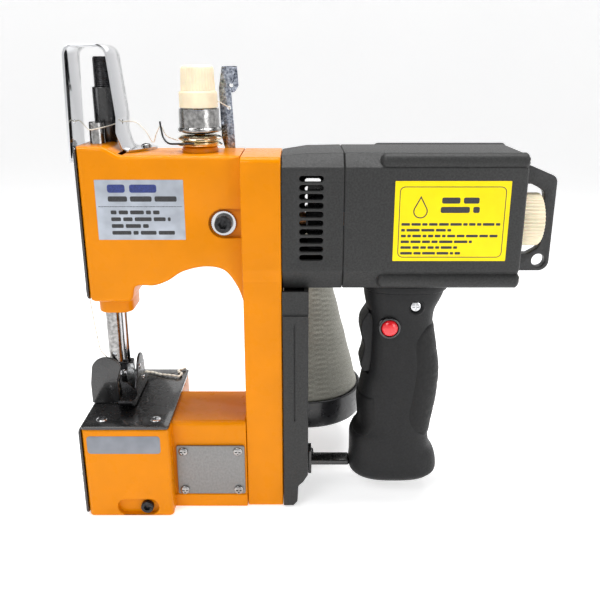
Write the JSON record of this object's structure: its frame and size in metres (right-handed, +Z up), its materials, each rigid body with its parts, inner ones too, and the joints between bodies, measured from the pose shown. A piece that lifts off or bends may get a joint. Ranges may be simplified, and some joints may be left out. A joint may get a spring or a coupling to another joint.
{
  "type": "bag closer sewing machine",
  "caption": "Hand-held electric chain-stitch machine for closing sacks: needle head and looper box on a C-shaped frame, motor housing, pistol grip and thread cone.",
  "frame": {"origin": "centre of the overall box, at the level of the surface the machine stands on", "axes": "+X along the shafts from the needle head towards the hand wheel, +Y away from the operator, +Z up"},
  "size_m": [0.2824, 0.1398, 0.2778],
  "materials": {
    "orange_paint": "gloss paint",
    "black_paint": "gloss paint",
    "black_plastic": "satin",
    "housing_plastic": "fine texture",
    "grip_plastic": "fine texture",
    "chrome": "polished",
    "steel": "ground",
    "black_steel": "blackened",
    "cover_aluminium": "satin",
    "copper": "enamelled copper wire and laminations",
    "brass": "satin",
    "rubber": "matte",
    "red_plastic": "gloss",
    "ivory_plastic": "satin",
    "thread": "wound sewing thread"
  },
  "bodies": {
    "frame": {"upper_arm_casting": "orange_paint", "head_face_plate": "black_paint", "clamp_screw": "chrome", "column_casting": "orange_paint", "belt_cover": "housing_plastic", "lower_arm_casting": "orange_paint", "looper_end_cover": "black_paint", "inspection_cover": "cover_aluminium", "throat_plate": "black_paint", "bag_guide": "black_paint", "motor_front_housing": "housing_plastic", "motor_rear_housing": "housing_plastic", "wound_stator": "steel", "brush_gear": "brass", "motor_bearing_front": "chrome", "motor_bearing_rear": "chrome", "timing_belt": "rubber", "upper_bearing": "chrome", "lower_bearing": "chrome", "adjuster_sleeve": "black_steel", "tension_post": "orange_paint", "tension_disc": "chrome", "tension_cup": "chrome", "thread_guide_strip": "chrome", "thread_guard": "chrome", "handle_front_shell": "grip_plastic", "handle_rear_shell": "grip_plastic", "switch_body": "black_plastic", "cord_inlet": "rubber", "hanger_bracket": "black_paint", "strut": "black_paint", "cone_dish": "black_plastic", "thread_cone": "thread", "supply_thread": "thread", "chain_tail": "thread"},
    "motor": {"armature": "copper", "cooling_fan": "black_plastic", "hand_wheel": "ivory_plastic"},
    "upper_drive": {"upper_shaft": "steel", "crank_disc": "steel", "drive_gear": "steel", "upper_pulley": "steel"},
    "lower_drive": {"lower_shaft": "steel", "lower_pulley": "steel"},
    "needle_unit": {"needle_bar": "chrome", "needle": "steel"},
    "rod": {"connecting_rod": "steel"},
    "presser": {"presser_bar": "chrome", "presser_foot": "black_steel", "presser_spring": "steel"},
    "pressure_screw": {"pressure_adjuster": "black_steel"},
    "lifter": {"lifter_lever": "black_steel"},
    "feed_carrier": {"feed_bar": "steel"},
    "feed": {"feed_dog": "steel"},
    "looper_unit": {"looper": "steel"},
    "knob": {"tension_knob": "ivory_plastic"},
    "check_spring_unit": {"check_spring": "steel"},
    "trigger_unit": {"trigger": "grip_plastic"},
    "button_unit": {"lock_button": "red_plastic"}
  },
  "joints": [
    {"name": "motor_spin", "type": "hinge", "parent": "frame", "child": "motor", "pos_m": [0.0546, -0.03135, 0.18], "axis": [1, 0, 0], "continuous": true},
    {"name": "upper_shaft_spin", "type": "hinge", "parent": "frame", "child": "upper_drive", "pos_m": [-0.0584, -0.03135, 0.198], "axis": [1, 0, 0], "continuous": true},
    {"name": "lower_shaft_spin", "type": "hinge", "parent": "frame", "child": "lower_drive", "pos_m": [-0.0584, -0.03135, 0.036], "axis": [1, 0, 0], "continuous": true},
    {"name": "needle_bar_slide", "type": "slide", "parent": "frame", "child": "needle_unit", "axis": [0, 0, 1], "range_m": [0, 0.023]},
    {"name": "connecting_rod_swing", "type": "hinge", "parent": "needle_unit", "child": "rod", "pos_m": [-0.116, -0.03135, 0.1505], "axis": [1, 0, 0], "range_deg": [-18, 18]},
    {"name": "presser_lift", "type": "slide", "parent": "frame", "child": "presser", "axis": [0, 0, 1], "range_m": [0, 0.008], "stiffness_N_per_m": 1500, "springref_m": -0.01, "deforming": ["presser_spring"]},
    {"name": "lifter_swing", "type": "hinge", "parent": "frame", "child": "lifter", "pos_m": [-0.1214, -0.00885, 0.178], "axis": [0, -1, 0], "range_deg": [0, 60]},
    {"name": "pressure_screw_turn", "type": "hinge", "parent": "frame", "child": "pressure_screw", "pos_m": [-0.1214, -0.01935, 0.24], "axis": [0, 0, 1], "range_deg": [-720, 720]},
    {"name": "feed_slide", "type": "slide", "parent": "frame", "child": "feed_carrier", "axis": [0, 1, 0], "range_m": [0, 0.005]},
    {"name": "feed_lift", "type": "slide", "parent": "feed_carrier", "child": "feed", "axis": [0, 0, 1], "range_m": [0, 0.0012]},
    {"name": "looper_swing", "type": "hinge", "parent": "frame", "child": "looper_unit", "pos_m": [-0.1114, -0.00735, 0.022], "axis": [1, 0, 0], "range_deg": [0, 20]},
    {"name": "tension_knob_turn", "type": "hinge", "parent": "frame", "child": "knob", "pos_m": [-0.0659, -0.03035, 0.255], "axis": [0, 0, 1], "range_deg": [-540, 540]},
    {"name": "check_spring_flex", "type": "hinge", "parent": "frame", "child": "check_spring_unit", "pos_m": [-0.0659, -0.03035, 0.226], "axis": [0, 0, 1], "range_deg": [-12, 12], "stiffness_Nm_per_rad": 0.02},
    {"name": "trigger_pull", "type": "hinge", "parent": "frame", "child": "trigger_unit", "pos_m": [0.0356, -0.03135, 0.1226], "axis": [0, -1, 0], "range_deg": [0, 7], "stiffness_Nm_per_rad": 2, "springref_deg": -11.46},
    {"name": "lock_button_press", "type": "slide", "parent": "frame", "child": "button_unit", "axis": [0, 1, 0], "range_m": [0, 0.002], "stiffness_N_per_m": 600, "springref_m": -0.002}
  ],
  "couplings": [
    {"joint": "upper_shaft_spin", "follows": "motor_spin", "ratio": -0.2},
    {"joint": "lower_shaft_spin", "follows": "motor_spin", "ratio": -0.2},
    {"joint": "lifter_swing", "follows": "presser_lift", "rad_per_m": 130.89},
    {"joint": "looper_swing", "follows": "needle_bar_slide", "rad_per_m": 15.17},
    {"joint": "feed_slide", "follows": "needle_bar_slide", "ratio": 0.217},
    {"joint": "feed_lift", "follows": "needle_bar_slide", "ratio": 0.052}
  ]
}
